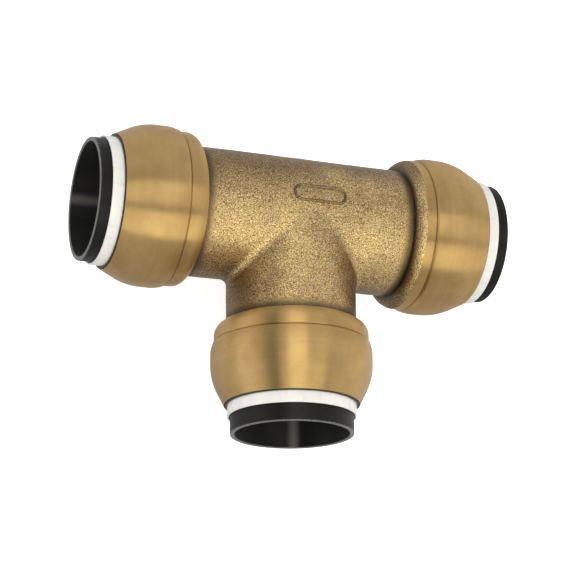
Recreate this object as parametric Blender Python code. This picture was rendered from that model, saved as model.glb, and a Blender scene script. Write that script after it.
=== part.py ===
"""Push to connect plumbing tee for 42 mm tube, with three releasable push-fit ports.

The fitting lies on its three end caps: the run is along X, the branch points to -Y and
+Z is up. The origin is under the middle of the bounding box, at the resting height.

Every port is described by the same turned profiles. A profile is a closed loop of
(s, r) points in millimetres: s is the distance from the crossing of the run's and the
branch's axes, measured out through the port, and r is the radius about the port's axis.
"""
import math

import bmesh
import bpy
from mathutils import Matrix, Vector

MM = 0.001
MERGE = 1e-6
STITCH = 1e-5
SMOOTH_ANGLE = math.radians(32)

# How finely round things are cut.
SEGMENTS = 32
INNER_SEGMENTS = 24
SECTION_SEGMENTS = 8

# Tube and socket.
TUBE_R = 21.0
SOCKET_R = 21.3
SOCKET_MOUTH_R = 21.5
TUBE_STOP_S = 32.0
FLOW_BORE_R = 18.6

# Cast tee body.
BARREL_R = 24.2
SHOULDER_S = 40.0
BAND_S = 44.5
BAND_R = 28.7
BAND_END_S = 48.0
SEAT_R = 28.0
GROOVE_S = (50.0, 51.5)
GROOVE_R = 27.4
GROOVE_RAMP = 0.3
SEAL_CAVITY_S = 44.0
SEAL_CAVITY_R = 25.4
RING_LEDGE_S = 53.7
RING_CAVITY_R = 26.5
BODY_END_S = 62.9
FRONT_CHAMFER = 0.5

# End cap.
CAP_REAR_S = 48.3
CAP_BORE_R = 28.3
CAP_REAR_R = 29.1
CAP_REAR_BLEND = (1.3, 0.25)
CAP_DOME_R = 30.0
CAP_DOME_S = (51.3, 56.0)
CAP_NOSE_R = 22.0
CAP_NOSE_ANGLE = 64
CAP_SHOULDER_S = 65.6
CAP_SHOULDER_R = 26.6
CAP_STEP_GAP = 0.6
CAP_LIP_S = 71.1
CAP_LIP_R = 24.7
CAP_LIP_OUTER_R = 25.1
SWAGE_R = 27.75
SWAGE_INSET = 0.45
SWAGE_RAMP = 0.3

# O-ring.
ORING_CENTRE_S = 46.4
ORING_CENTRE_R = 22.85
ORING_SECTION_R = 2.1

# Seal protector.
PROTECTOR_S = (48.8, 53.4)
PROTECTOR_R = (21.35, 25.0)
PROTECTOR_CHAMFER = 0.4
PROTECTOR_LIP = 0.8
PROTECTOR_WEB = 1.2

# Grab ring.
TEETH = 24
TOOTH_FILL = 0.7
RIM_S = (54.0, 54.7)
RIM_R = (24.0, 26.0)
TOOTH_TIP_R = 20.85
TOOTH_TIP_S = 51.9
TOOTH_THICK = 0.6
TOOTH_TAPER = 0.86
TOOTH_TIP_LIFT = 0.1

# Retainer.
RETAINER_S = (55.1, 62.7)
RETAINER_STEP_S = 56.9
RETAINER_R = 26.1
RETAINER_THROAT_R = 23.3
RETAINER_CHAMBER_R = 25.0
RETAINER_CHAMFER = 0.5

# Guide bush.
BUSH_S = (63.3, 65.3)
BUSH_END_S = 75.7
BUSH_BORE_R = 23.05
BUSH_R = 23.75
BUSH_FLANGE_R = 25.9
BUSH_CHAMFER = 0.25

# Release collar, drawn at its outer stop.
COLLAR_BORE_R = 21.2
COLLAR_R = 22.75
COLLAR_NOSE_S = 56.9
COLLAR_NOSE_WALL = 0.5
COLLAR_NOSE_TAPER = 1.6
COLLAR_BEAD_S = (61.8, 63.0)
COLLAR_BEAD_R = 24.3
COLLAR_RIM_S = 82.15
COLLAR_EDGE = 0.35
RUN_COLLAR_INSET = 2.1

# A plain casting mark on top of the run: the raised outline of a rounded bar.
MARK_CENTRE = (3.0, 3.5)
MARK_STRAIGHT = 7.0
MARK_HALF_WIDTHS = (2.4, 3.5)
MARK_RISE = 0.6
MARK_ROOT_Z = 20.0
MARK_ARC_STEPS = 6

# The branch reaches further out than the caps bulge on the other side.
AXIS_Y = (COLLAR_RIM_S - CAP_DOME_R) / 2
AXIS_Z = CAP_DOME_R

# Port name, turn about Z that points +X down the port, how far its collar rests inwards.
PORTS = (
    ("left", math.pi, RUN_COLLAR_INSET),
    ("right", 0.0, RUN_COLLAR_INSET),
    ("branch", -math.pi / 2, 0.0),
)

COLOURS = {
    # name: (base colour, roughness, metallic)
    "cast_brass": ((0.42, 0.29, 0.13), 0.48, 0.9),
    "turned_brass": ((0.66, 0.45, 0.19), 0.3, 0.95),
    "black_plastic": ((0.012, 0.012, 0.012), 0.42, 0.0),
    "white_plastic": ((0.86, 0.86, 0.85), 0.4, 0.0),
    "seal_rubber": ((0.02, 0.02, 0.02), 0.6, 0.0),
    "spring_steel": ((0.6, 0.6, 0.58), 0.28, 1.0),
}


def clear_scene():
    for ob in list(bpy.data.objects):
        bpy.data.objects.remove(ob, do_unlink=True)


def make_materials():
    made = {}
    for name, (colour, roughness, metallic) in COLOURS.items():
        mat = bpy.data.materials.new(name)
        mat.use_nodes = True
        shader = mat.node_tree.nodes["Principled BSDF"]
        shader.inputs["Base Color"].default_value = (*colour, 1.0)
        shader.inputs["Roughness"].default_value = roughness
        shader.inputs["Metallic"].default_value = metallic
        mat.diffuse_color = (*colour, 1.0)
        made[name] = mat
    return made


def revolve(profile, steps, closed=True):
    """Spin a profile of (s, r) points about X, and return the bmesh, in millimetres."""
    bm = bmesh.new()
    verts = [bm.verts.new((s, 0.0, r)) for s, r in profile]
    pairs = list(zip(verts, verts[1:]))
    if closed:
        pairs.append((verts[-1], verts[0]))
    edges = [bm.edges.new(pair) for pair in pairs]
    bmesh.ops.spin(
        bm, geom=verts + edges, cent=(0, 0, 0), axis=(1, 0, 0),
        angle=2 * math.pi, steps=steps, use_merge=True,
    )
    bmesh.ops.remove_doubles(bm, verts=bm.verts, dist=MERGE / MM)
    return bm


def add_object(name, bm, material, turn=0.0):
    """Finish a bmesh that is about its port's axis, and stand it on that axis."""
    bm.transform(Matrix.Rotation(turn, 4, "Z") @ Matrix.Scale(MM, 4))
    bmesh.ops.recalc_face_normals(bm, faces=bm.faces)
    if bm.calc_volume(signed=True) < 0.0:
        bmesh.ops.reverse_faces(bm, faces=bm.faces)
    mesh = bpy.data.meshes.new(name)
    bm.to_mesh(mesh)
    bm.free()
    mesh.shade_smooth()
    mesh.set_sharp_from_angle(angle=SMOOTH_ANGLE)
    mesh.materials.append(material)
    ob = bpy.data.objects.new(name, mesh)
    ob.location = (0.0, AXIS_Y * MM, AXIS_Z * MM)
    bpy.context.scene.collection.objects.link(ob)
    return ob


def arc(centre, radius, start, stop, steps):
    """Points on an arc, with angles in degrees from +s towards +r."""
    for i in range(steps + 1):
        a = math.radians(start + (stop - start) * i / steps)
        yield (centre[0] + radius * math.cos(a), centre[1] + radius * math.sin(a))


def arm_profile():
    """Outer skin from the crossing out to the mouth, then the inner skin back in."""
    rise = BAND_S - SHOULDER_S
    shoulder = list(arc((BAND_S, BARREL_R), rise, 180, 90, 4))
    return [
        (0.0, BARREL_R),
        *shoulder,
        (BAND_END_S, BAND_R),
        (BAND_END_S, SEAT_R),
        (GROOVE_S[0], SEAT_R),
        (GROOVE_S[0] + GROOVE_RAMP, GROOVE_R),
        (GROOVE_S[1] - GROOVE_RAMP, GROOVE_R),
        (GROOVE_S[1], SEAT_R),
        (BODY_END_S - FRONT_CHAMFER, SEAT_R),
        (BODY_END_S, SEAT_R - FRONT_CHAMFER),
        (BODY_END_S, RING_CAVITY_R),
        (RING_LEDGE_S, RING_CAVITY_R),
        (RING_LEDGE_S, SEAL_CAVITY_R),
        (SEAL_CAVITY_S, SEAL_CAVITY_R),
        (SEAL_CAVITY_S, SOCKET_MOUTH_R),
        (TUBE_STOP_S, SOCKET_R),
        (TUBE_STOP_S, FLOW_BORE_R),
        (0.0, FLOW_BORE_R),
    ]


def build_arm(turn, on_run):
    """One arm of the tee. Its inner end follows the mitre where equal barrels meet."""
    bm = revolve(arm_profile(), SEGMENTS, closed=False)
    for v in bm.verts:
        if v.co.x == 0.0:
            world = Matrix.Rotation(turn, 3, "Z") @ v.co
            v.co.x = max(0.0, -world.y) if on_run else abs(world.x)
    bm.transform(Matrix.Rotation(turn, 4, "Z"))
    return bm


def build_body(material):
    """Three arms stitched along the mitre, with the casting mark joined on top."""
    whole = bmesh.new()
    for _, turn, inset in PORTS:
        arm = build_arm(turn, inset > 0.0)
        copy = bpy.data.meshes.new("arm")
        arm.to_mesh(copy)
        arm.free()
        whole.from_mesh(copy)
        bpy.data.meshes.remove(copy)
    bmesh.ops.remove_doubles(whole, verts=whole.verts, dist=STITCH / MM)
    body = add_object("tee_body", whole, material)

    mark = add_object("mark_guide", build_mark(), material)
    limit_bm = bmesh.new()
    bmesh.ops.create_cone(
        limit_bm, cap_ends=True, segments=2 * SEGMENTS, radius1=BARREL_R + MARK_RISE,
        radius2=BARREL_R + MARK_RISE, depth=4 * MARK_STRAIGHT + BARREL_R,
        matrix=Matrix.Rotation(math.pi / 2, 4, "Y"),
    )
    limit = add_object("mark_limit_guide", limit_bm, material)
    for target, operation, other in ((mark, "INTERSECT", limit), (body, "UNION", mark)):
        cut = target.modifiers.new(operation.lower(), "BOOLEAN")
        cut.operation = operation
        cut.solver = "EXACT"
        cut.object = other
        other.hide_render = True
        other.display_type = "WIRE"


def build_mark():
    """An upright wall along the outline, later trimmed to an even height."""
    bm = bmesh.new()
    loops = []
    for half in MARK_HALF_WIDTHS:
        points = []
        for side, start in ((1, -90), (-1, 90)):
            centre = (MARK_CENTRE[0] + side * MARK_STRAIGHT, MARK_CENTRE[1])
            points += arc(centre, half, start, start + 180, MARK_ARC_STEPS)
        loops.append([bm.verts.new((x, y, MARK_ROOT_Z)) for x, y in points])
    inner, outer = loops
    count = len(inner)
    floor = [
        bm.faces.new((inner[i], inner[(i + 1) % count], outer[(i + 1) % count], outer[i]))
        for i in range(count)
    ]
    raised = bmesh.ops.extrude_face_region(bm, geom=floor)
    top = [item for item in raised["geom"] if isinstance(item, bmesh.types.BMVert)]
    bmesh.ops.translate(bm, verts=top, vec=Vector((0, 0, BARREL_R)) / 2)
    return bm


def cap_profile():
    """A domed shell swaged into the body's groove, open round the guide bush at its lip."""
    swage = (GROOVE_S[0] + SWAGE_INSET, GROOVE_S[1] - SWAGE_INSET)
    blend_s, blend_r = CAP_REAR_BLEND
    return [
        (CAP_REAR_S, CAP_BORE_R),
        (CAP_REAR_S, CAP_REAR_R),
        (CAP_DOME_S[0] - blend_s, CAP_DOME_R - blend_r),
        (CAP_DOME_S[0], CAP_DOME_R),
        *arc((CAP_DOME_S[1], CAP_DOME_R - CAP_NOSE_R), CAP_NOSE_R, 90, CAP_NOSE_ANGLE, 4),
        (CAP_LIP_S, CAP_LIP_OUTER_R),
        (CAP_LIP_S, CAP_LIP_R),
        (CAP_SHOULDER_S, CAP_LIP_R),
        (CAP_SHOULDER_S, CAP_SHOULDER_R),
        (BODY_END_S + CAP_STEP_GAP, CAP_BORE_R),
        (swage[1] + SWAGE_RAMP, CAP_BORE_R),
        (swage[1], SWAGE_R),
        (swage[0], SWAGE_R),
        (swage[0] - SWAGE_RAMP, CAP_BORE_R),
    ]


def oring_profile():
    """A circle of the seal's section, drawn round its outside so that its volume holds."""
    for i in range(SECTION_SEGMENTS):
        a = math.tau * (i + 0.5) / SECTION_SEGMENTS
        reach = ORING_SECTION_R / math.cos(math.pi / SECTION_SEGMENTS)
        yield (ORING_CENTRE_S + reach * math.cos(a), ORING_CENTRE_R + reach * math.sin(a))


def protector_profile():
    """A ring with a hollow conical front, so that the teeth can bend inwards."""
    (rear, front), (bore, outer) = PROTECTOR_S, PROTECTOR_R
    return [
        (rear, bore + PROTECTOR_CHAMFER),
        (rear, outer),
        (front, outer),
        (front, outer - PROTECTOR_LIP),
        (rear + PROTECTOR_WEB, bore),
        (rear + PROTECTOR_CHAMFER, bore),
    ]


def retainer_profile():
    """A ring whose throat backs the grab ring, and whose chamber holds the collar's bead."""
    rear, front = RETAINER_S
    return [
        (rear, RETAINER_THROAT_R + RETAINER_CHAMFER),
        (rear, RETAINER_R),
        (front, RETAINER_R),
        (front, RETAINER_CHAMBER_R),
        (RETAINER_STEP_S, RETAINER_CHAMBER_R),
        (RETAINER_STEP_S, RETAINER_THROAT_R),
        (rear + RETAINER_CHAMFER, RETAINER_THROAT_R),
    ]


def bush_profile():
    """A thin sleeve round the collar, with a flange held between the body and the cap."""
    rear, front = BUSH_S
    return [
        (rear, BUSH_BORE_R),
        (rear, BUSH_FLANGE_R),
        (front, BUSH_FLANGE_R),
        (front, BUSH_R),
        (BUSH_END_S - BUSH_CHAMFER, BUSH_R),
        (BUSH_END_S, BUSH_R - BUSH_CHAMFER),
        (BUSH_END_S, BUSH_BORE_R),
    ]


def collar_profile(inset):
    """A thin tube with a tapered nose and a bead that keeps it in the retainer's chamber."""
    loop = [
        (COLLAR_NOSE_S, COLLAR_BORE_R),
        (COLLAR_NOSE_S, COLLAR_BORE_R + COLLAR_NOSE_WALL),
        (COLLAR_NOSE_S + COLLAR_NOSE_TAPER, COLLAR_R),
        (COLLAR_BEAD_S[0], COLLAR_R),
        (COLLAR_BEAD_S[0], COLLAR_BEAD_R),
        (COLLAR_BEAD_S[1], COLLAR_BEAD_R),
        (COLLAR_BEAD_S[1], COLLAR_R),
        (COLLAR_RIM_S - COLLAR_EDGE, COLLAR_R),
        (COLLAR_RIM_S, COLLAR_R - COLLAR_EDGE),
        (COLLAR_RIM_S, COLLAR_BORE_R + COLLAR_EDGE),
        (COLLAR_RIM_S - COLLAR_EDGE, COLLAR_BORE_R),
    ]
    return [(s - inset, r) for s, r in loop]


def build_grab_ring():
    """A flat rim with spring teeth that lean in towards the tube and inwards."""
    bm = bmesh.new()
    pitch = math.tau / TEETH
    half = pitch * TOOTH_FILL / 2
    angles = []
    for i in range(TEETH):
        angles += [i * pitch - half, i * pitch + half]

    def point(s, r, a):
        return bm.verts.new((s, -r * math.sin(a), r * math.cos(a)))

    rings = {}
    for key, s, r in (
        ("rear_out", RIM_S[0], RIM_R[1]), ("front_out", RIM_S[1], RIM_R[1]),
        ("front_in", RIM_S[1], RIM_R[0]), ("rear_in", RIM_S[0], RIM_R[0]),
    ):
        rings[key] = [point(s, r, a) for a in angles]
    count = len(angles)
    for a, b in (("rear_out", "front_out"), ("front_out", "front_in"), ("rear_in", "rear_out")):
        for i in range(count):
            j = (i + 1) % count
            bm.faces.new((rings[a][i], rings[a][j], rings[b][j], rings[b][i]))
    for i in range(1, count, 2):
        j = (i + 1) % count
        bm.faces.new((rings["front_in"][i], rings["front_in"][j],
                      rings["rear_in"][j], rings["rear_in"][i]))
    for i in range(0, count, 2):
        root = [rings["front_in"][i], rings["front_in"][i + 1],
                rings["rear_in"][i + 1], rings["rear_in"][i]]
        middle = (angles[i] + angles[i + 1]) / 2
        narrow = half * RIM_R[0] / TOOTH_TIP_R * TOOTH_TAPER
        tip = [
            point(TOOTH_TIP_S + TOOTH_THICK, TOOTH_TIP_R + TOOTH_TIP_LIFT, middle - narrow),
            point(TOOTH_TIP_S + TOOTH_THICK, TOOTH_TIP_R + TOOTH_TIP_LIFT, middle + narrow),
            point(TOOTH_TIP_S, TOOTH_TIP_R, middle + narrow),
            point(TOOTH_TIP_S, TOOTH_TIP_R, middle - narrow),
        ]
        for k in range(4):
            m = (k + 1) % 4
            bm.faces.new((root[k], root[m], tip[m], tip[k]))
        bm.faces.new(tip)
    return bm


def build_port(name, turn, inset, mats):
    """The seven separate pieces of one port, each standing on the port's axis."""
    turned = (
        ("end_cap", cap_profile(), SEGMENTS, "turned_brass"),
        ("guide_bush", bush_profile(), SEGMENTS, "white_plastic"),
        ("release_collar", collar_profile(inset), SEGMENTS, "black_plastic"),
        ("o_ring", list(oring_profile()), INNER_SEGMENTS, "seal_rubber"),
        ("seal_protector", protector_profile(), INNER_SEGMENTS, "white_plastic"),
        ("retainer", retainer_profile(), INNER_SEGMENTS, "black_plastic"),
    )
    for kind, profile, steps, slot in turned:
        add_object(f"{kind}_{name}", revolve(profile, steps), mats[slot], turn)
    add_object(f"grab_ring_{name}", build_grab_ring(), mats["spring_steel"], turn)


def main():
    clear_scene()
    mats = make_materials()
    build_body(mats["cast_brass"])
    for name, turn, inset in PORTS:
        build_port(name, turn, inset, mats)


main()
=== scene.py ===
import math

import bmesh
import bpy
import numpy as np
from mathutils import Matrix, Vector, noise


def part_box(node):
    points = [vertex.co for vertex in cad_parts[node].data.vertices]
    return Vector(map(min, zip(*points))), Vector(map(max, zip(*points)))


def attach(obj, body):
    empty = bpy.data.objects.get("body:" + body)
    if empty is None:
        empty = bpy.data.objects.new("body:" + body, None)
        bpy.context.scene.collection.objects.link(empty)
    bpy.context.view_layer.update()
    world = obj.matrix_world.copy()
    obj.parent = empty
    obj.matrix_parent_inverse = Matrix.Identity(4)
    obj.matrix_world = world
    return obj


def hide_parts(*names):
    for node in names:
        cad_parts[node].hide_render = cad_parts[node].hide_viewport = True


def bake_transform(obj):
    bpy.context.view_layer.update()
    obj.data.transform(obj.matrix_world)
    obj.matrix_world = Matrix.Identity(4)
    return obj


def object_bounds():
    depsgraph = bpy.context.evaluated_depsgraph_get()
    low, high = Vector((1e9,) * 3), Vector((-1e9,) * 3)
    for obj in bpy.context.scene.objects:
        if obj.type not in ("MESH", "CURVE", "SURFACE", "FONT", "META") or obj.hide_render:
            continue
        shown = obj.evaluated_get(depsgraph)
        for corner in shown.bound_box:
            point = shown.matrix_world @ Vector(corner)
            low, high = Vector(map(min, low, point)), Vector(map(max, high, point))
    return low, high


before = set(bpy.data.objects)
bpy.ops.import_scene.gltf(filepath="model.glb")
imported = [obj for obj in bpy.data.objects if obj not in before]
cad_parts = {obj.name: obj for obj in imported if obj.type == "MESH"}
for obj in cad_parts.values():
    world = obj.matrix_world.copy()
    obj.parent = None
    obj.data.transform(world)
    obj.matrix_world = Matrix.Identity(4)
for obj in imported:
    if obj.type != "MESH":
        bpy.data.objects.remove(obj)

CAD_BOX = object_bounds()
MM = 0.001

# How finely round things are cut.
SEGMENTS = 288
CAP_SEGMENTS = 320
CAST_SEGMENTS = 320
HIDDEN_SEGMENTS = 192

# The crossing of the two axes, and a frame for each port in which local +X runs out
# through the mouth. Distances along it are called s below, radii about it r, both in
# millimetres.
RUN_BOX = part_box("end_cap_left")
BRANCH_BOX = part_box("end_cap_branch")
CROSSING = Vector((
    (BRANCH_BOX[0][0] + BRANCH_BOX[1][0]) / 2,
    (RUN_BOX[0][1] + RUN_BOX[1][1]) / 2,
    (RUN_BOX[0][2] + RUN_BOX[1][2]) / 2,
))
PORTS = {"left": math.pi, "right": 0.0, "branch": -math.pi / 2}
TO_WORLD = {
    port: Matrix.Translation(CROSSING) @ Matrix.Rotation(turn, 4, "Z")
    for port, turn in PORTS.items()
}

# Casting. The rough skin runs over the shoulder on the right port only.
BARREL_R = 24.2
FLOW_R = 18.6
SLEEVE_R = 22.6
BORE_END_S = 30.0
SKIN_END_S = 40.0
SHOULDER_S = 40.5
SHOULDER_RISE = 4.5
CAST_END_S = {"left": 40.05, "right": 44.1, "branch": 40.05}
CREASE = 2.7
SKIN_ROWS = 62
DIRT_WIDTH = 2.8

# Machined socket and cap.
BAND_R = 28.7
BAND_END_S = 48.0
SEAT_R = 28.0
GROOVE_S = (50.0, 51.5)
GROOVE_R = 27.4
SOCKET_END_S = 62.9
CAP_BORE_R = 28.3
CAP_NOSE_R = 22.0
CAP_NOSE_ANGLE = 64
CAP_LEDGE_S = 65.7
CAP_LIP_R = 24.7

# Plastic and spring parts.
BUSH_R = (23.05, 23.75)
COLLAR_R = (21.2, 22.75)
COLLAR_RIM_S = 82.15
SEAL_RADII = (22.85, 2.1)
TEETH = 24
TOOTH_ROOT_R = 24.0
TOOTH_TIP_R = 20.85

# The plain casting mark on the run: the raised outline of a rounded bar.
MARK_CENTRE = (3.0, 3.5)
MARK_STRAIGHT = 7.0
MARK_HALF_WIDTH = 2.95
MARK_BEAD = (0.6, 1.0)
MARK_SINK = 0.42

# Which way the lit side of the casting faces, where no painted shade falls, and how far round from the
# lowest line the painted highlight streak in each collar's bore lies.
LIT_SIDE = (-0.05, -0.50, 0.865)
HIGHLIGHT_LEAN = {"left": -19.0, "right": 19.0, "branch": 22.0}


def span(node):
    """How far a node reaches along its port (near s, far s), and its outer radius."""
    port = node.rsplit("_", 1)[1]
    lo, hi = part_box(node)
    back = TO_WORLD[port].inverted()
    ends = sorted((back @ Vector(corner)).x / MM for corner in (lo, hi))
    return ends[0], ends[1], (hi[2] - lo[2]) / 2 / MM


# ---------------------------------------------------------------- materials

class Nodes:
    """A node tree, built with short calls."""

    def __init__(self, tree):
        self.tree = tree

    def add(self, kind, settings=None, **inputs):
        """A node; inputs are named as on the node, with _ for a space, or _0, _1 by number."""
        node = self.tree.nodes.new(kind)
        for key, value in (settings or {}).items():
            setattr(node, key, value)
        for key, value in inputs.items():
            number = key[1:]
            socket = int(number) if number.isdigit() else key.replace("_", " ")
            self.put(node.inputs[socket], value)
        return node

    def put(self, socket, value):
        if isinstance(value, bpy.types.NodeSocket):
            self.tree.links.new(value, socket)
        else:
            socket.default_value = value

    def math(self, operation, a, b=0.0):
        return self.add("ShaderNodeMath", {"operation": operation}, _0=a, _1=b).outputs[0]

    def plus(self, first, *rest):
        for term in rest:
            first = self.math("ADD", first, term)
        return first

    def minus(self, a, b):
        return self.math("SUBTRACT", a, b)

    def times(self, a, b):
        return self.math("MULTIPLY", a, b)

    def noise(self, vector, scale, detail=2.0, roughness=0.5, distortion=0.0):
        return self.add(
            "ShaderNodeTexNoise", None, Vector=vector, Scale=scale, Detail=detail,
            Roughness=roughness, Distortion=distortion,
        ).outputs["Fac"]

    def ramp(self, value, low, high, out_low=0.0, out_high=1.0):
        """Turns smoothly from out_low to out_high as value goes from low to high."""
        return self.add(
            "ShaderNodeMapRange", {"interpolation_type": "SMOOTHSTEP"}, Value=value,
            From_Min=low, From_Max=high, To_Min=out_low, To_Max=out_high,
        ).outputs["Result"]

    def colours(self, value, *stops):
        node = self.add("ShaderNodeValToRGB", None, Fac=value)
        ramp = node.color_ramp
        while len(ramp.elements) < len(stops):
            ramp.elements.new(0.5)
        for element, (position, colour) in zip(ramp.elements, stops):
            element.position = position
            element.color = (*colour, 1.0)
        return node.outputs["Color"]

    def mix(self, factor, a, b, blend="MIX"):
        node = self.add("ShaderNodeMix", {"data_type": "RGBA", "blend_type": blend})
        self.put(node.inputs["Factor"], factor)
        for index, value in ((6, a), (7, b)):
            is_socket = isinstance(value, bpy.types.NodeSocket)
            self.put(node.inputs[index], value if is_socket else (*value, 1.0))
        return node.outputs[2]

    def tint(self, colour, by):
        return self.mix(1.0, colour, by, "MULTIPLY")

    def bump(self, height, strength, distance, normal=None):
        node = self.add("ShaderNodeBump", None, Height=height, Strength=strength, Distance=distance)
        if normal is not None:
            self.put(node.inputs["Normal"], normal)
        return node.outputs["Normal"]

    def axes(self, vector):
        split = self.add("ShaderNodeSeparateXYZ", None, Vector=vector)
        return split.outputs["X"], split.outputs["Y"], split.outputs["Z"]


class Shader(Nodes):
    """A material with one Principled surface, textured in the object's own coordinates."""

    def __init__(self, name):
        self.mat = bpy.data.materials.new(name)
        self.mat.use_nodes = True
        super().__init__(self.mat.node_tree)
        self.bsdf = self.tree.nodes["Principled BSDF"]
        self.coords = self.add("ShaderNodeTexCoord").outputs["Object"]

    def set(self, **inputs):
        for key, value in inputs.items():
            self.put(self.bsdf.inputs[key.replace("_", " ")], value)

    def scaled(self, x, y, z):
        return self.add("ShaderNodeMapping", Vector=self.coords, Scale=(x, y, z)).outputs[0]

    def from_axis(self):
        """Distance from the object's X axis, which is the port's axis on a turned piece."""
        flat = self.scaled(0.0, 1.0, 1.0)
        return self.add("ShaderNodeVectorMath", {"operation": "LENGTH"}, _0=flat).outputs["Value"]

    def facing(self, side):
        """How squarely the surface faces a side: 1 facing it, -1 facing away."""
        normal = self.add("ShaderNodeTexCoord").outputs["Normal"]
        dot = self.add("ShaderNodeVectorMath", {"operation": "DOT_PRODUCT"}, _0=normal, _1=side)
        return dot.outputs["Value"]

    def gloss_round_axis(self):
        """Gloss that fine rings round the port's axis draw out along it."""
        tangent = self.add("ShaderNodeTangent", {"direction_type": "RADIAL", "axis": "X"})
        self.set(Anisotropic=1.0, Anisotropic_Rotation=0.25, Tangent=tangent.outputs[0])


def cast_brass(name="cast_brass_skin", even_darkening=0.0):
    """Sand-cast skin: bright metal grains, with painted shade: a dull patina tint off the lit side, and
    darkening by the caps.
    """
    sh = Shader(name)
    x, y, _ = sh.axes(sh.coords)
    grain = sh.noise(sh.coords, 2500.0, 2.0, 0.6)
    fine = sh.noise(sh.coords, 4600.0, 2.0, 0.6)
    cloud = sh.noise(sh.coords, 75.0, 3.0, 0.55)
    speck = sh.plus(sh.times(grain, 0.65), sh.times(fine, 0.35))
    skin = sh.colours(
        speck,
        (0.37, (0.17, 0.108, 0.054)), (0.46, (0.42, 0.282, 0.137)),
        (0.53, (0.77, 0.535, 0.245)), (0.61, (1.0, 0.83, 0.43)),
    )
    skin = sh.tint(skin, sh.colours(cloud, (0.32, (0.84, 0.82, 0.84)), (0.68, (1.0, 1.0, 0.94))))

    # Painted shade: a dull patina tint darkens the skin where it turns from the lit side, in random patches;
    # it lifts a little further over the top of the run's right half, and first at the tips of the grains.
    patches = sh.times(sh.minus(cloud, 0.5), 0.35)
    right_top = sh.times(sh.ramp(x, -0.015, 0.012), sh.ramp(y, 0.0, 0.012, 0.0, 0.24))
    tips = sh.times(sh.minus(speck, 0.52), 0.8)
    unshaded = sh.ramp(sh.plus(sh.facing(LIT_SIDE), patches, right_top, tips), 0.42, 1.0)
    skin = sh.mix(unshaded, sh.tint(skin, (0.425, 0.395, 0.415)), skin)

    # Painted shade: the skin darkens towards the joint with each cap, with a ragged edge, and stays off the
    # outside of the shoulder. A piece may also be darkened evenly all over, as the mark is.
    reach = sh.math("MAXIMUM", sh.math("ABSOLUTE", x), sh.times(y, -1.0))
    ragged = sh.plus(reach, sh.times(sh.minus(grain, 0.5), 0.009))
    on_shoulder = sh.times(
        sh.math("GREATER_THAN", x, (SKIN_END_S - 0.2) * MM),
        sh.ramp(sh.from_axis(), (BARREL_R + 0.4) * MM, (BARREL_R + 3.0) * MM),
    )
    near_cap = sh.ramp(ragged, (SKIN_END_S - DIRT_WIDTH) * MM, SKIN_END_S * MM)
    painted_shade = sh.times(near_cap, sh.minus(1.0, on_shoulder))
    painted_shade = sh.math("MAXIMUM", sh.times(painted_shade, 0.85), even_darkening)
    sh.set(
        Base_Color=sh.mix(painted_shade, skin, (0.05, 0.038, 0.025)), Metallic=0.95,
        Roughness=sh.ramp(speck, 0.35, 0.7, 0.52, 0.34),
        Normal=sh.bump(fine, 0.35, 0.00010, sh.bump(grain, 0.55, 0.00022)),
    )
    return sh.mat


def turned_brass():
    """Lathe-turned brass: fine rings round the port's axis, soft stains, satin gloss."""
    sh = Shader("turned_brass_satin")
    rings = sh.noise(sh.scaled(1.0, 0.02, 0.02), 2600.0, 3.0, 0.65)
    broad = sh.noise(sh.scaled(1.0, 0.05, 0.05), 420.0, 2.0, 0.5)
    cloud = sh.noise(sh.coords, 60.0, 4.0, 0.6)
    spots = sh.noise(sh.coords, 900.0, 3.0, 0.6)
    tone = sh.plus(sh.times(rings, 0.5), sh.times(broad, 0.5))
    colour = sh.colours(
        cloud,
        (0.3, (0.56, 0.365, 0.146)), (0.5, (0.62, 0.407, 0.166)), (0.72, (0.68, 0.452, 0.193)),
    )
    colour = sh.tint(colour, sh.colours(tone, (0.34, (0.87, 0.86, 0.84)), (0.62, (1.0, 1.0, 1.0))))
    colour = sh.tint(colour, sh.colours(spots, (0.26, (0.90, 0.88, 0.85)), (0.40, (1.0, 1.0, 1.0))))
    sh.set(
        Base_Color=colour, Metallic=1.0,
        Roughness=sh.plus(sh.ramp(tone, 0.3, 0.7, 0.37, 0.44), sh.ramp(cloud, 0.3, 0.7, 0.03, -0.02)),
        Normal=sh.bump(rings, 0.18, 0.00006),
    )
    sh.gloss_round_axis()
    return sh.mat


def black_plastic(port):
    """Moulded black plastic: satin skin, a lighter grey rim and a painted highlight streak down the bore."""
    sh = Shader(f"black_plastic_{port}")
    x, y, z = sh.axes(sh.coords)
    mottling = sh.noise(sh.coords, 1800.0, 3.0, 0.6)
    cloud = sh.noise(sh.coords, 140.0, 3.0, 0.6)
    drag = sh.noise(sh.scaled(0.12, 1.0, 1.0), 900.0, 2.0, 0.5)
    colour = sh.colours(cloud, (0.3, (0.007, 0.0066, 0.0058)), (0.7, (0.0115, 0.0108, 0.0098)))

    # Painted highlight: a lighter streak runs along the low side of the bore, leaned round by the port's
    # angle.
    lean = math.radians(HIGHLIGHT_LEAN[port])
    aside = sh.plus(sh.times(y, math.cos(lean)), sh.times(z, math.sin(lean)))
    in_bore = sh.math("LESS_THAN", sh.from_axis(), (COLLAR_R[0] + 0.1) * MM)
    low_side = sh.math("LESS_THAN", z, 0.0)
    painted_highlight = sh.times(
        sh.times(in_bore, low_side), sh.ramp(sh.math("ABSOLUTE", aside), 0.0, 0.0030, 1.0, 0.0),
    )
    colour = sh.mix(painted_highlight, colour, (0.125, 0.115, 0.105))

    # The rim's end face is a lighter, mottled grey.
    edge = sh.ramp(x, COLLAR_RIM_S * MM - 0.00042, COLLAR_RIM_S * MM - 0.00012)
    rim_grey = sh.mix(sh.ramp(mottling, 0.35, 0.65), (0.12, 0.116, 0.113), (0.225, 0.218, 0.21))
    sh.set(
        Base_Color=sh.mix(edge, colour, rim_grey), Specular_IOR_Level=0.3,
        Roughness=sh.ramp(sh.plus(mottling, sh.times(drag, 0.6)), 0.5, 1.1, 0.48, 0.58),
        Normal=sh.bump(mottling, 0.08, 0.00004),
    )
    sh.gloss_round_axis()
    return sh.mat


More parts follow.
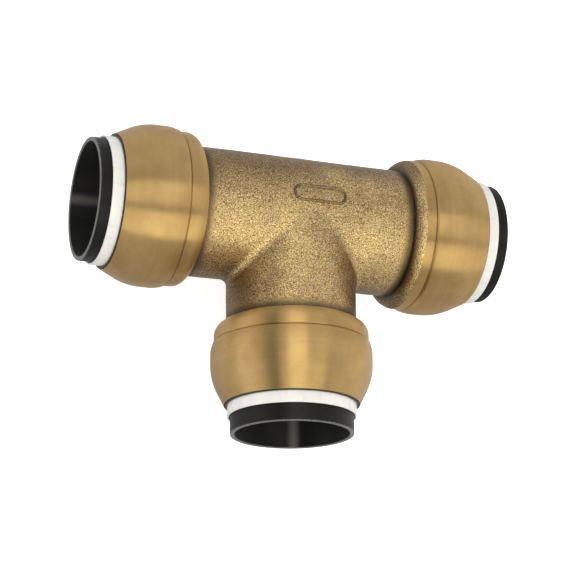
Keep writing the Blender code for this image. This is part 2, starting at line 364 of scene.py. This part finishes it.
def inner_black():
    """Plain moulded black plastic, for the parts inside the cap."""
    sh = Shader("black_plastic_inner")
    mottling = sh.noise(sh.coords, 1500.0, 3.0, 0.6)
    sh.set(
        Base_Color=sh.colours(mottling, (0.3, (0.014, 0.014, 0.014)), (0.7, (0.026, 0.026, 0.025))),
        Roughness=sh.ramp(mottling, 0.3, 0.7, 0.4, 0.52),
        Normal=sh.bump(mottling, 0.12, 0.00005),
    )
    return sh.mat


def white_plastic():
    """Natural white acetal: smooth, faintly warm, with light handling smudges."""
    sh = Shader("white_plastic_smooth")
    smudge = sh.noise(sh.scaled(0.5, 1.0, 1.0), 210.0, 4.0, 0.62, 0.4)
    pores = sh.noise(sh.coords, 2100.0, 2.0, 0.5)
    colour = sh.colours(
        smudge,
        (0.30, (0.75, 0.715, 0.70)), (0.44, (0.85, 0.82, 0.805)), (0.66, (0.90, 0.875, 0.86)),
    )
    sh.set(
        Base_Color=colour, Roughness=sh.ramp(smudge, 0.3, 0.7, 0.44, 0.32),
        Subsurface_Weight=0.12, Subsurface_Scale=0.0012,
        Normal=sh.bump(pores, 0.06, 0.00004),
    )
    return sh.mat


def seal_rubber():
    """Black seal rubber under an uneven film of grease."""
    sh = Shader("seal_rubber_greased")
    pores = sh.noise(sh.coords, 1700.0, 3.0, 0.6)
    film = sh.noise(sh.coords, 230.0, 3.0, 0.5)
    sh.set(
        Base_Color=sh.colours(film, (0.3, (0.012, 0.012, 0.013)), (0.7, (0.024, 0.024, 0.025))),
        Roughness=sh.ramp(film, 0.35, 0.65, 0.3, 0.55),
        Normal=sh.bump(pores, 0.2, 0.00008),
    )
    return sh.mat


def spring_steel():
    """Stamped stainless strip, with grain along the port."""
    sh = Shader("spring_steel_stamped")
    grain = sh.noise(sh.scaled(0.1, 1.0, 1.0), 1400.0, 3.0, 0.6)
    cloud = sh.noise(sh.coords, 180.0, 2.0, 0.5)
    sh.set(
        Base_Color=sh.colours(cloud, (0.3, (0.50, 0.50, 0.49)), (0.7, (0.64, 0.635, 0.62))),
        Metallic=1.0, Roughness=sh.ramp(grain, 0.3, 0.7, 0.22, 0.36),
        Normal=sh.bump(grain, 0.12, 0.00005),
    )
    return sh.mat


# ---------------------------------------------------------------- shapes

def rounded(corners, steps=5):
    """A closed profile of (s, r, fillet) corners, with each fillet drawn as a curve."""
    out = []
    for i, (s, r, fillet) in enumerate(corners):
        p = np.array((s, r), float)
        if fillet <= 0.0:
            out.append(p)
            continue
        u = np.array(corners[i - 1][:2]) - p
        v = np.array(corners[(i + 1) % len(corners)][:2]) - p
        lu, lv = np.linalg.norm(u), np.linalg.norm(v)
        u, v = u / lu, v / lv
        f = min(fillet, 0.42 * lu, 0.42 * lv)
        out.append(p + u * min(1.5 * f, 0.49 * lu))
        for t in np.linspace(0.0, 1.0, steps + 1):
            out.append((1 - t) ** 2 * (p + u * f) + 2 * t * (1 - t) * p + t * t * (p + v * f))
        out.append(p + v * min(1.5 * f, 0.49 * lv))
    return out


def arc(centre, radius, start, stop, steps):
    """Points on a circle, with angles in degrees from +s towards +r, and no fillet."""
    angles = np.radians(np.linspace(start, stop, steps + 1))
    return [(centre[0] + radius * math.cos(a), centre[1] + radius * math.sin(a), 0.0) for a in angles]


def finish_mesh(name, verts, faces, mat, sharp_angle=40.0):
    """A smooth-shaded object whose faces all point outwards."""
    mesh = bpy.data.meshes.new(name)
    mesh.from_pydata([tuple(v) for v in verts], [], faces)
    mesh.validate()
    bm = bmesh.new()
    bm.from_mesh(mesh)
    bmesh.ops.recalc_face_normals(bm, faces=bm.faces)
    if bm.calc_volume(signed=True) < 0.0:
        bmesh.ops.reverse_faces(bm, faces=bm.faces)
    bm.to_mesh(mesh)
    bm.free()
    mesh.shade_smooth()
    mesh.set_sharp_from_angle(angle=math.radians(sharp_angle))
    mesh.materials.append(mat)
    ob = bpy.data.objects.new(name, mesh)
    bpy.context.scene.collection.objects.link(ob)
    return ob


def finish_bmesh(name, bm, mat, sharp_angle):
    """The same for a bmesh, which is freed."""
    bm.verts.index_update()
    verts = [v.co.copy() for v in bm.verts]
    faces = [[v.index for v in f.verts] for f in bm.faces]
    bm.free()
    return finish_mesh(name, verts, faces, mat, sharp_angle)


def lathe(name, profile, port, mat, segments=SEGMENTS):
    """Turns a closed profile of (s, r) about the port's axis."""
    pts = np.array([p[:2] for p in profile]) * MM
    count = len(pts)
    angles = np.arange(segments) * math.tau / segments
    verts = np.empty((segments, count, 3))
    verts[..., 0] = pts[:, 0]
    verts[..., 1] = -np.sin(angles)[:, None] * pts[:, 1]
    verts[..., 2] = np.cos(angles)[:, None] * pts[:, 1]
    faces = []
    for i in range(segments):
        a, b = i * count, (i + 1) % segments * count
        for j in range(count):
            k = (j + 1) % count
            faces.append((a + j, b + j, b + k, a + k))
    ob = finish_mesh(name, verts.reshape(-1, 3), faces, mat)
    ob.matrix_world = TO_WORLD[port]
    return ob


def place(ob, body, slot, *nodes):
    """Makes a piece ride on its body and hides the CAD nodes it stands for. The slot is not used."""
    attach(ob, body)
    if nodes:
        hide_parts(*nodes)


# ---------------------------------------------------------------- the tee's casting

def skin_offset(p):
    """How far the cast skin stands off its ideal surface, in millimetres."""
    q = Vector(p)
    wave = noise.noise(q * 0.11) * 0.10 + noise.noise(q * 0.35) * 0.035
    grain = noise.noise(q * 1.35) * 0.045 + noise.noise(q * 2.3) * 0.03
    return wave + grain


def settle(points):
    """Moves points onto the skin where two equal barrels meet with a soft crease."""
    offset = np.array([skin_offset(p) for p in points])
    p = points.copy()
    for _ in range(6):
        x, y, z = p.T
        from_run = np.hypot(y, z)
        from_branch = np.sqrt(x * x + z * z + (2 * np.maximum(y, 0.0)) ** 2)
        a, b = from_run - BARREL_R, from_branch - BARREL_R
        # The crease fades out where the barrels touch, on the top and bottom of the run.
        flat = z * z / np.maximum(from_run * np.hypot(x, z), 1e-6)
        k = np.maximum(CREASE * (1 - np.clip(flat, 0, 1) ** 2), 1e-4)
        h = np.maximum(k - np.abs(a - b), 0.0) / k
        field = np.minimum(a, b) - h * h * k / 4 - offset
        share = np.clip(0.5 - 0.5 * (a - b) / k, 0, 1)[:, None]
        zero = np.zeros_like(x)
        run_way = np.stack((zero, y / from_run, z / from_run), 1)
        branch_way = np.stack((x / from_branch, zero, z / from_branch), 1)
        way = run_way * share + branch_way * (1 - share)
        length = np.maximum(np.linalg.norm(way, axis=1), 0.3)
        p -= way * (field / length ** 2)[:, None]
    return p


def shoulder(s):
    """Outer radius past the barrel's end, on the rounded shoulder."""
    t = np.clip((s - SHOULDER_S) / SHOULDER_RISE, 0.0, 1.0)
    return BARREL_R + SHOULDER_RISE * np.sqrt(np.clip(1 - (1 - t) ** 2, 0, 1))


def arm_line(port, spin, across, up):
    """(s, r) points along one arm at one angle: the skin, the end and back in by the bore."""
    def start(r):
        side = spin @ Vector((0.0, across * r, up * r))
        return abs(side.x) if port == "branch" else max(0.0, -side.y)

    end = CAST_END_S[port]
    begin, straight_end = start(BARREL_R), min(end, SKIN_END_S)
    line = [
        (begin + (straight_end - begin) * j / SKIN_ROWS, BARREL_R) for j in range(SKIN_ROWS + 1)
    ]
    if end > SHOULDER_S:
        eased = 1 - np.cos(np.linspace(0.25, 1.0, 14) * math.pi / 2)
        line += [(s, float(shoulder(s))) for s in SKIN_END_S + (end - SKIN_END_S) * eased]
    line += [
        (end, line[-1][1] - 0.6), (end, SLEEVE_R), (BORE_END_S, SLEEVE_R), (BORE_END_S, FLOW_R),
    ]
    steps = 8
    line += [
        (BORE_END_S + (start(FLOW_R) - BORE_END_S) * j / steps, FLOW_R) for j in range(1, steps + 1)
    ]
    return line


def casting(mat):
    """The middle of the tee: three barrels stitched along the mitre, hollow inside."""
    bm = bmesh.new()
    for port, turn in PORTS.items():
        spin = Matrix.Rotation(turn, 3, "Z")
        grid = []
        for i in range(CAST_SEGMENTS):
            a = math.tau * i / CAST_SEGMENTS
            across, up = -math.sin(a), math.cos(a)
            line = arm_line(port, spin, across, up)
            grid.append([bm.verts.new(spin @ Vector((s, across * r, up * r))) for s, r in line])
        for a, b in zip(grid, grid[1:] + grid[:1]):
            for j in range(len(a) - 1):
                bm.faces.new((a[j], b[j], b[j + 1], a[j + 1]))
    bmesh.ops.remove_doubles(bm, verts=bm.verts, dist=0.004)

    co = np.array([v.co for v in bm.verts])
    x, y, z = co.T
    radius = np.where((y < -np.abs(x)) & (y < 0), np.hypot(x, z), np.hypot(y, z))
    reach = np.maximum(np.abs(x), -y)
    on_barrel = (np.abs(radius - BARREL_R) < 0.02) & (reach < SKIN_END_S - 0.01)
    on_shoulder = (radius > BARREL_R - 0.05) & (reach > SKIN_END_S + 0.2)
    on_shoulder &= reach < CAST_END_S["right"] - 0.05
    co[on_barrel] = settle(co[on_barrel])
    for i in np.flatnonzero(on_shoulder):
        out = np.array((-0.5, y[i] / radius[i], z[i] / radius[i]))
        co[i] += out * skin_offset(co[i]) * 1.6
    for v, p in zip(bm.verts, co):
        v.co = Vector(p) * MM
    ob = finish_bmesh("tee_casting", bm, mat, 55.0)
    ob.location = CROSSING
    return ob


def casting_mark(mat):
    """The raised outline of a rounded bar, draped over the top of the run."""
    path = []
    for side, first in ((1, -90), (-1, 90)):
        centre = (MARK_CENTRE[0] + side * MARK_STRAIGHT, MARK_CENTRE[1])
        path += [p[:2] for p in arc(centre, MARK_HALF_WIDTH, first, first + 180, 20)]
    path = np.array(path)
    dense = []
    for a, b in zip(path, np.roll(path, -1, 0)):
        pieces = max(1, int(np.linalg.norm(b - a) / 0.45))
        dense += [a + (b - a) * t / pieces for t in range(pieces)]
    dense = np.array(dense)
    along = np.roll(dense, -1, 0) - np.roll(dense, 1, 0)
    along /= np.linalg.norm(along, axis=1)[:, None]
    across = np.stack((-along[:, 1], along[:, 0]), 1)
    turns = np.linspace(0, math.tau, 13)[:-1]
    bead_w, bead_h = MARK_BEAD
    section = [(bead_w * math.cos(a), bead_h * math.sin(a) - MARK_SINK) for a in turns]
    verts, faces, ring = [], [], len(section)
    for (x, y), (ax, ay) in zip(dense, across):
        for w, h in section:
            px, py = x + ax * w, y + ay * w
            pz = math.sqrt(BARREL_R ** 2 - py * py)
            rise = 1 + (h + skin_offset((px, py, pz)) * 0.8) / BARREL_R
            verts.append(Vector((px, py * rise, pz * rise)) * MM)
    for i in range(len(dense)):
        j = (i + 1) % len(dense)
        for k in range(ring):
            m = (k + 1) % ring
            faces.append((i * ring + k, j * ring + k, j * ring + m, i * ring + m))
    ob = finish_mesh("casting_mark", verts, faces, mat)
    ob.location = CROSSING
    return ob


# ---------------------------------------------------------------- the ports' pieces

def socket(port, mat):
    """The machined end of the casting: shoulder, band, cap seat and the stepped socket."""
    start = CAST_END_S[port]
    if port == "right":
        outer = [(start, SLEEVE_R, 0.0), (start, float(shoulder(start)) - 0.05, 0.0)]
    else:
        centre = (SHOULDER_S + SHOULDER_RISE, BARREL_R)
        outer = [(start, SLEEVE_R, 0.0), (start, BARREL_R + 0.15, 0.2)]
        outer += arc(centre, SHOULDER_RISE, 166, 96, 12)
    profile = outer + [
        (45.3, BAND_R, 0.0), (47.6, BAND_R, 0.2), (BAND_END_S, 28.3, 0.08), (BAND_END_S, SEAT_R, 0.1),
        (GROOVE_S[0], SEAT_R, 0.1), (50.3, GROOVE_R, 0.1), (51.2, GROOVE_R, 0.1), (GROOVE_S[1], SEAT_R, 0.1),
        (SOCKET_END_S, SEAT_R, 0.4), (SOCKET_END_S, 26.5, 0.15), (53.7, 26.5, 0.1), (53.7, 25.4, 0.2),
        (44.0, 25.4, 0.4), (44.0, 21.5, 0.5), (32.0, 21.3, 0.15), (32.0, FLOW_R, 0.4),
        (BORE_END_S, FLOW_R, 0.0), (BORE_END_S, SLEEVE_R, 0.0),
    ]
    return lathe(f"socket_{port}", rounded(profile), port, mat)


def end_cap(port, mat):
    """A domed shell that is crimped into the socket's groove and turns in to a thin lip."""
    rear, lip, dome = span(f"end_cap_{port}")
    nose = arc((56.0, dome - CAP_NOSE_R), CAP_NOSE_R, 90, CAP_NOSE_ANGLE, 22)
    profile = [
        (48.06, 28.45, 0.05), (48.08, 28.5, 0.1), (rear + 0.25, 29.35, 0.35),
        (51.2, dome, 1.8), (54.5, dome, 0.5), *nose,
        (lip, 25.1, 0.12), (lip, 24.9, 0.08), (CAP_LEDGE_S, CAP_LIP_R, 0.15), (CAP_LEDGE_S, 26.6, 0.3),
        (63.5, CAP_BORE_R, 0.4), (51.35, CAP_BORE_R, 0.2), (51.05, 27.75, 0.1),
        (50.45, 27.75, 0.1), (50.15, CAP_BORE_R, 0.2),
    ]
    return lathe(f"cap_{port}", rounded(profile), port, mat, CAP_SEGMENTS)


def gap_shade_ring(port, mat):
    """A black ring of painted shade in the gap between the cap's lip and the guide bush, where there is only
    shadow.
    """
    _, lip, _ = span(f"end_cap_{port}")
    front, inner, outer = lip + 0.4, BUSH_R[1] + 0.1, CAP_LIP_R - 0.04
    profile = [(66.0, inner, 0.1), (66.0, outer, 0.1), (front, outer, 0.2), (front, inner, 0.1)]
    return lathe(f"gap_shade_ring_{port}", rounded(profile), port, mat, HIDDEN_SEGMENTS)


def guide_bush(port, mat):
    """The white sleeve round the collar, with its flange behind the cap's ledge."""
    near, far, flange = span(f"guide_bush_{port}")
    bore, outer = BUSH_R
    profile = [
        (near, bore, 0.2), (near, flange, 0.3), (65.3, flange, 0.3), (65.3, outer, 0.25),
        (far, outer, 0.28), (far, bore, 0.15),
    ]
    return lathe(f"bush_{port}", rounded(profile), port, mat)


def release_collar(port, mat):
    """Drawn as if fully out, then moved in to where it rests, so that its material fits."""
    near, rim, bead = span(f"release_collar_{port}")
    shift = rim - COLLAR_RIM_S
    tail = near - shift
    bore, outer = COLLAR_R
    profile = [
        (tail, bore, 0.1), (tail, 21.75, 0.25), (tail + 1.6, outer, 0.4), (tail + 4.9, outer, 0.15),
        (tail + 4.9, bead, 0.25), (tail + 6.1, bead, 0.25), (tail + 6.1, outer, 0.2),
        (COLLAR_RIM_S, outer, 0.32), (COLLAR_RIM_S, bore, 0.32),
    ]
    ob = lathe(f"collar_{port}", rounded(profile, 6), port, mat)
    ob.matrix_world = TO_WORLD[port] @ Matrix.Translation((shift * MM, 0, 0))
    return ob


def o_ring(port, mat):
    """A round section turned about the port's axis."""
    near, far, _ = span(f"o_ring_{port}")
    radius, section = SEAL_RADII
    profile = arc(((near + far) / 2, radius), section, 0, 345, 23)
    return lathe(f"seal_{port}", profile, port, mat, HIDDEN_SEGMENTS)


def seal_protector(port, mat):
    """The ring between seal and teeth, with a hollow cone for the teeth to bend into."""
    near, far, outer = span(f"seal_protector_{port}")
    profile = [
        (near, 21.75, 0.2), (near, outer, 0.3), (far, outer, 0.2), (far, outer - 0.8, 0.15),
        (near + 1.2, 21.35, 0.3), (near + 0.4, 21.35, 0.2),
    ]
    return lathe(f"protector_{port}", rounded(profile), port, mat, HIDDEN_SEGMENTS)


def retainer(port, mat):
    """The ring that backs the grab ring's rim and holds the collar's bead in its chamber."""
    near, far, outer = span(f"retainer_{port}")
    throat, chamber, step = 23.3, 25.0, 56.9
    profile = [
        (near, throat + 0.5, 0.2), (near, outer, 0.3), (far, outer, 0.3), (far, chamber, 0.2),
        (step, chamber, 0.2), (step, throat, 0.2), (near + 0.5, throat, 0.3),
    ]
    return lathe(f"retainer_ring_{port}", rounded(profile), port, mat, HIDDEN_SEGMENTS)


def grab_ring(port, mat):
    """A flat rim whose spring teeth lean inwards; each tooth tapers and has a sharp tip."""
    tip_s, rim_front, outer = span(f"grab_ring_{port}")
    rim_rear = rim_front - 0.7
    pitch = math.tau / TEETH
    half = pitch * 0.35
    steps, gap_steps = 7, 3
    angles = []
    for i in range(TEETH):
        angles += [i * pitch - half + 2 * half * j / steps for j in range(steps)]
        angles += [i * pitch + half + (pitch - 2 * half) * j / gap_steps for j in range(gap_steps)]
    count, per_tooth = len(angles), steps + gap_steps
    bm = bmesh.new()

    def point(s, r, a):
        return bm.verts.new((s * MM, -r * math.sin(a) * MM, r * math.cos(a) * MM))

    rear_out, front_out, front_in, rear_in = (
        [point(s, r, a) for a in angles]
        for s, r in (
            (rim_rear, outer), (rim_front, outer), (rim_front, TOOTH_ROOT_R), (rim_rear, TOOTH_ROOT_R),
        )
    )
    for a, b in ((rear_out, front_out), (front_out, front_in), (rear_in, rear_out)):
        for i in range(count):
            j = (i + 1) % count
            bm.faces.new((a[i], a[j], b[j], b[i]))
    for i in range(count):
        if i % per_tooth >= steps:
            j = (i + 1) % count
            bm.faces.new((front_in[i], front_in[j], rear_in[j], rear_in[i]))
    for tooth in range(TEETH):
        root = [(tooth * per_tooth + j) % count for j in range(steps + 1)]
        fronts, backs = [[front_in[i] for i in root]], [[rear_in[i] for i in root]]
        for level in (0.12, 0.5, 0.88, 1.0):
            r = TOOTH_ROOT_R + (TOOTH_TIP_R - TOOTH_ROOT_R) * level
            back = rim_rear + (tip_s - rim_rear) * (level ** 0.85)
            front = back + 0.62 - 0.1 * level
            width = half * (TOOTH_ROOT_R / r) * (1 - 0.2 * level)
            row = [tooth * pitch + width * (2 * j / steps - 1) for j in range(steps + 1)]
            fronts.append([point(front, r + 0.12, a) for a in row])
            backs.append([point(back, r, a) for a in row])
        for rows in (fronts, backs):
            for a, b in zip(rows, rows[1:]):
                for j in range(steps):
                    bm.faces.new((a[j], a[j + 1], b[j + 1], b[j]))
        for j in range(steps):
            bm.faces.new((fronts[-1][j], fronts[-1][j + 1], backs[-1][j + 1], backs[-1][j]))
        for side in (0, steps):
            for k in range(len(fronts) - 1):
                bm.faces.new((
                    fronts[k][side], fronts[k + 1][side], backs[k + 1][side], backs[k][side],
                ))
    ob = finish_bmesh(f"teeth_{port}", bm, mat, 35.0)
    ob.matrix_world = TO_WORLD[port]
    return ob


def bend_teeth(teeth, port):
    """Bakes the teeth's placement into their mesh and hides the CAD grab ring."""
    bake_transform(teeth)
    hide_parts(f"grab_ring_{port}")


cast, mark, turned = cast_brass(), cast_brass("cast_brass_mark", 0.6), turned_brass()
inner, white, rubber, steel = inner_black(), white_plastic(), seal_rubber(), spring_steel()

place(casting(cast), "fitting", "cast_brass", "tee_body")
place(casting_mark(mark), "fitting", "cast_brass")
for port in PORTS:
    place(socket(port, turned), "fitting", "turned_brass")
    place(end_cap(port, turned), "fitting", "turned_brass", f"end_cap_{port}")
    # Painted shade: a black ring fills the shadowed gap at each cap's lip.
    place(gap_shade_ring(port, inner), "fitting", "black_plastic")
    place(guide_bush(port, white), "fitting", "white_plastic", f"guide_bush_{port}")
    place(o_ring(port, rubber), "fitting", "seal_rubber", f"o_ring_{port}")
    place(seal_protector(port, white), "fitting", "white_plastic", f"seal_protector_{port}")
    place(retainer(port, inner), "fitting", "black_plastic", f"retainer_{port}")
    collar = release_collar(port, black_plastic(port))
    place(collar, f"release_collar_{port}", "black_plastic", f"release_collar_{port}")
    bend_teeth(grab_ring(port, steel), port)


# ---------------------------------------------------------------- studio

def pale_floor():
    """A wide white sheet at the resting height, too bright to take more than faint shade."""
    bm = bmesh.new()
    bmesh.ops.create_grid(bm, x_segments=2, y_segments=2, size=4.0)
    mesh = bpy.data.meshes.new("floor")
    bm.to_mesh(mesh)
    bm.free()
    floor = bpy.data.objects.new("floor", mesh)
    bpy.context.scene.collection.objects.link(floor)
    floor.location.z = CAD_BOX[0][2]
    sh = Shader("floor_paper")
    cloud = sh.noise(sh.coords, 40.0, 3.0)
    sh.set(
        Base_Color=sh.colours(cloud, (0.3, (0.90, 0.90, 0.90)), (0.7, (0.915, 0.915, 0.91))),
        Roughness=0.75, Specular_IOR_Level=0.2,
        Emission_Color=(1.0, 1.0, 1.0, 1.0), Emission_Strength=0.75,
    )
    mesh.materials.append(sh.mat)
    floor.visible_diffuse = floor.visible_glossy = floor.visible_shadow = False


def studio_world():
    """Soft light from all round: brighter to the sides and the back, dimmer above."""
    world = bpy.data.worlds.new("studio")
    bpy.context.scene.world = world
    world.use_nodes = True
    sky = Nodes(world.node_tree)
    x, y, z = sky.axes(sky.add("ShaderNodeTexCoord").outputs["Generated"])
    left = sky.times(x, -1.0)
    level = sky.math("ABSOLUTE", z)
    sides = sky.times(sky.math("ABSOLUTE", x), 0.42)
    above = sky.times(level, -0.16)
    back = sky.times(y, 0.10)
    left_panel = sky.times(sky.ramp(left, 0.80, 0.95), sky.ramp(level, 0.15, 0.35, 0.39, 0.0))
    flag_height = sky.times(sky.ramp(z, 0.40, 0.55), sky.ramp(z, 0.70, 0.80, -0.60, 0.0))
    upper_left_flag = sky.times(sky.ramp(left, 0.42, 0.62), flag_height)
    light = sky.plus(0.62, sides, above, back, left_panel, upper_left_flag)
    sky.put(sky.tree.nodes["Background"].inputs["Color"], light)


def softbox(name, direction, distance, size, power, colour=(1.0, 1.0, 1.0)):
    """A rectangular area light, seen from the crossing in a direction and facing it."""
    light = bpy.data.lights.new(name, "AREA")
    light.shape = "RECTANGLE"
    light.size, light.size_y = size
    light.energy = power
    light.color = colour
    ob = bpy.data.objects.new(name, light)
    bpy.context.scene.collection.objects.link(ob)
    aim = Vector(direction).normalized()
    ob.location = CROSSING + aim * distance
    ob.rotation_mode = "QUATERNION"
    ob.rotation_quaternion = aim.to_track_quat("Z", "Y")
    return ob


def camera():
    """Looks down on the tee from over its left front, with a slight roll."""
    tilt, swing, roll = math.radians(-17.495), math.radians(20.641), math.radians(0.535)
    turn = (
        Matrix.Rotation(roll, 4, "Z") @ Matrix.Rotation(tilt, 4, "X") @ Matrix.Rotation(swing, 4, "Y")
    ).transposed()
    stand_off = Matrix.Translation((-0.000784, -0.024764, 0.774994))
    data = bpy.data.cameras.new("camera")
    data.sensor_width = 36.0
    data.lens = 128.508
    data.clip_start, data.clip_end = 0.05, 50.0
    ob = bpy.data.objects.new("camera", data)
    bpy.context.scene.collection.objects.link(ob)
    ob.matrix_world = Matrix.Translation(CROSSING) @ turn @ stand_off
    bpy.context.scene.camera = ob


pale_floor()
studio_world()
softbox("key", (0.02, -0.70, 0.71), 1.2, (1.25, 0.8), 5.15, (1.0, 0.985, 0.80))
softbox("overhead", (-0.20, 0.0, 1.0), 1.2, (0.7, 0.54), 2.6, (1.0, 0.98, 0.86))
wash = softbox("wash", (0.0, 0.0, 1.0), 1.6, (2.8, 2.8), 4.0)
wash.visible_glossy = False
camera()
bpy.context.scene.view_settings.view_transform = "Standard"
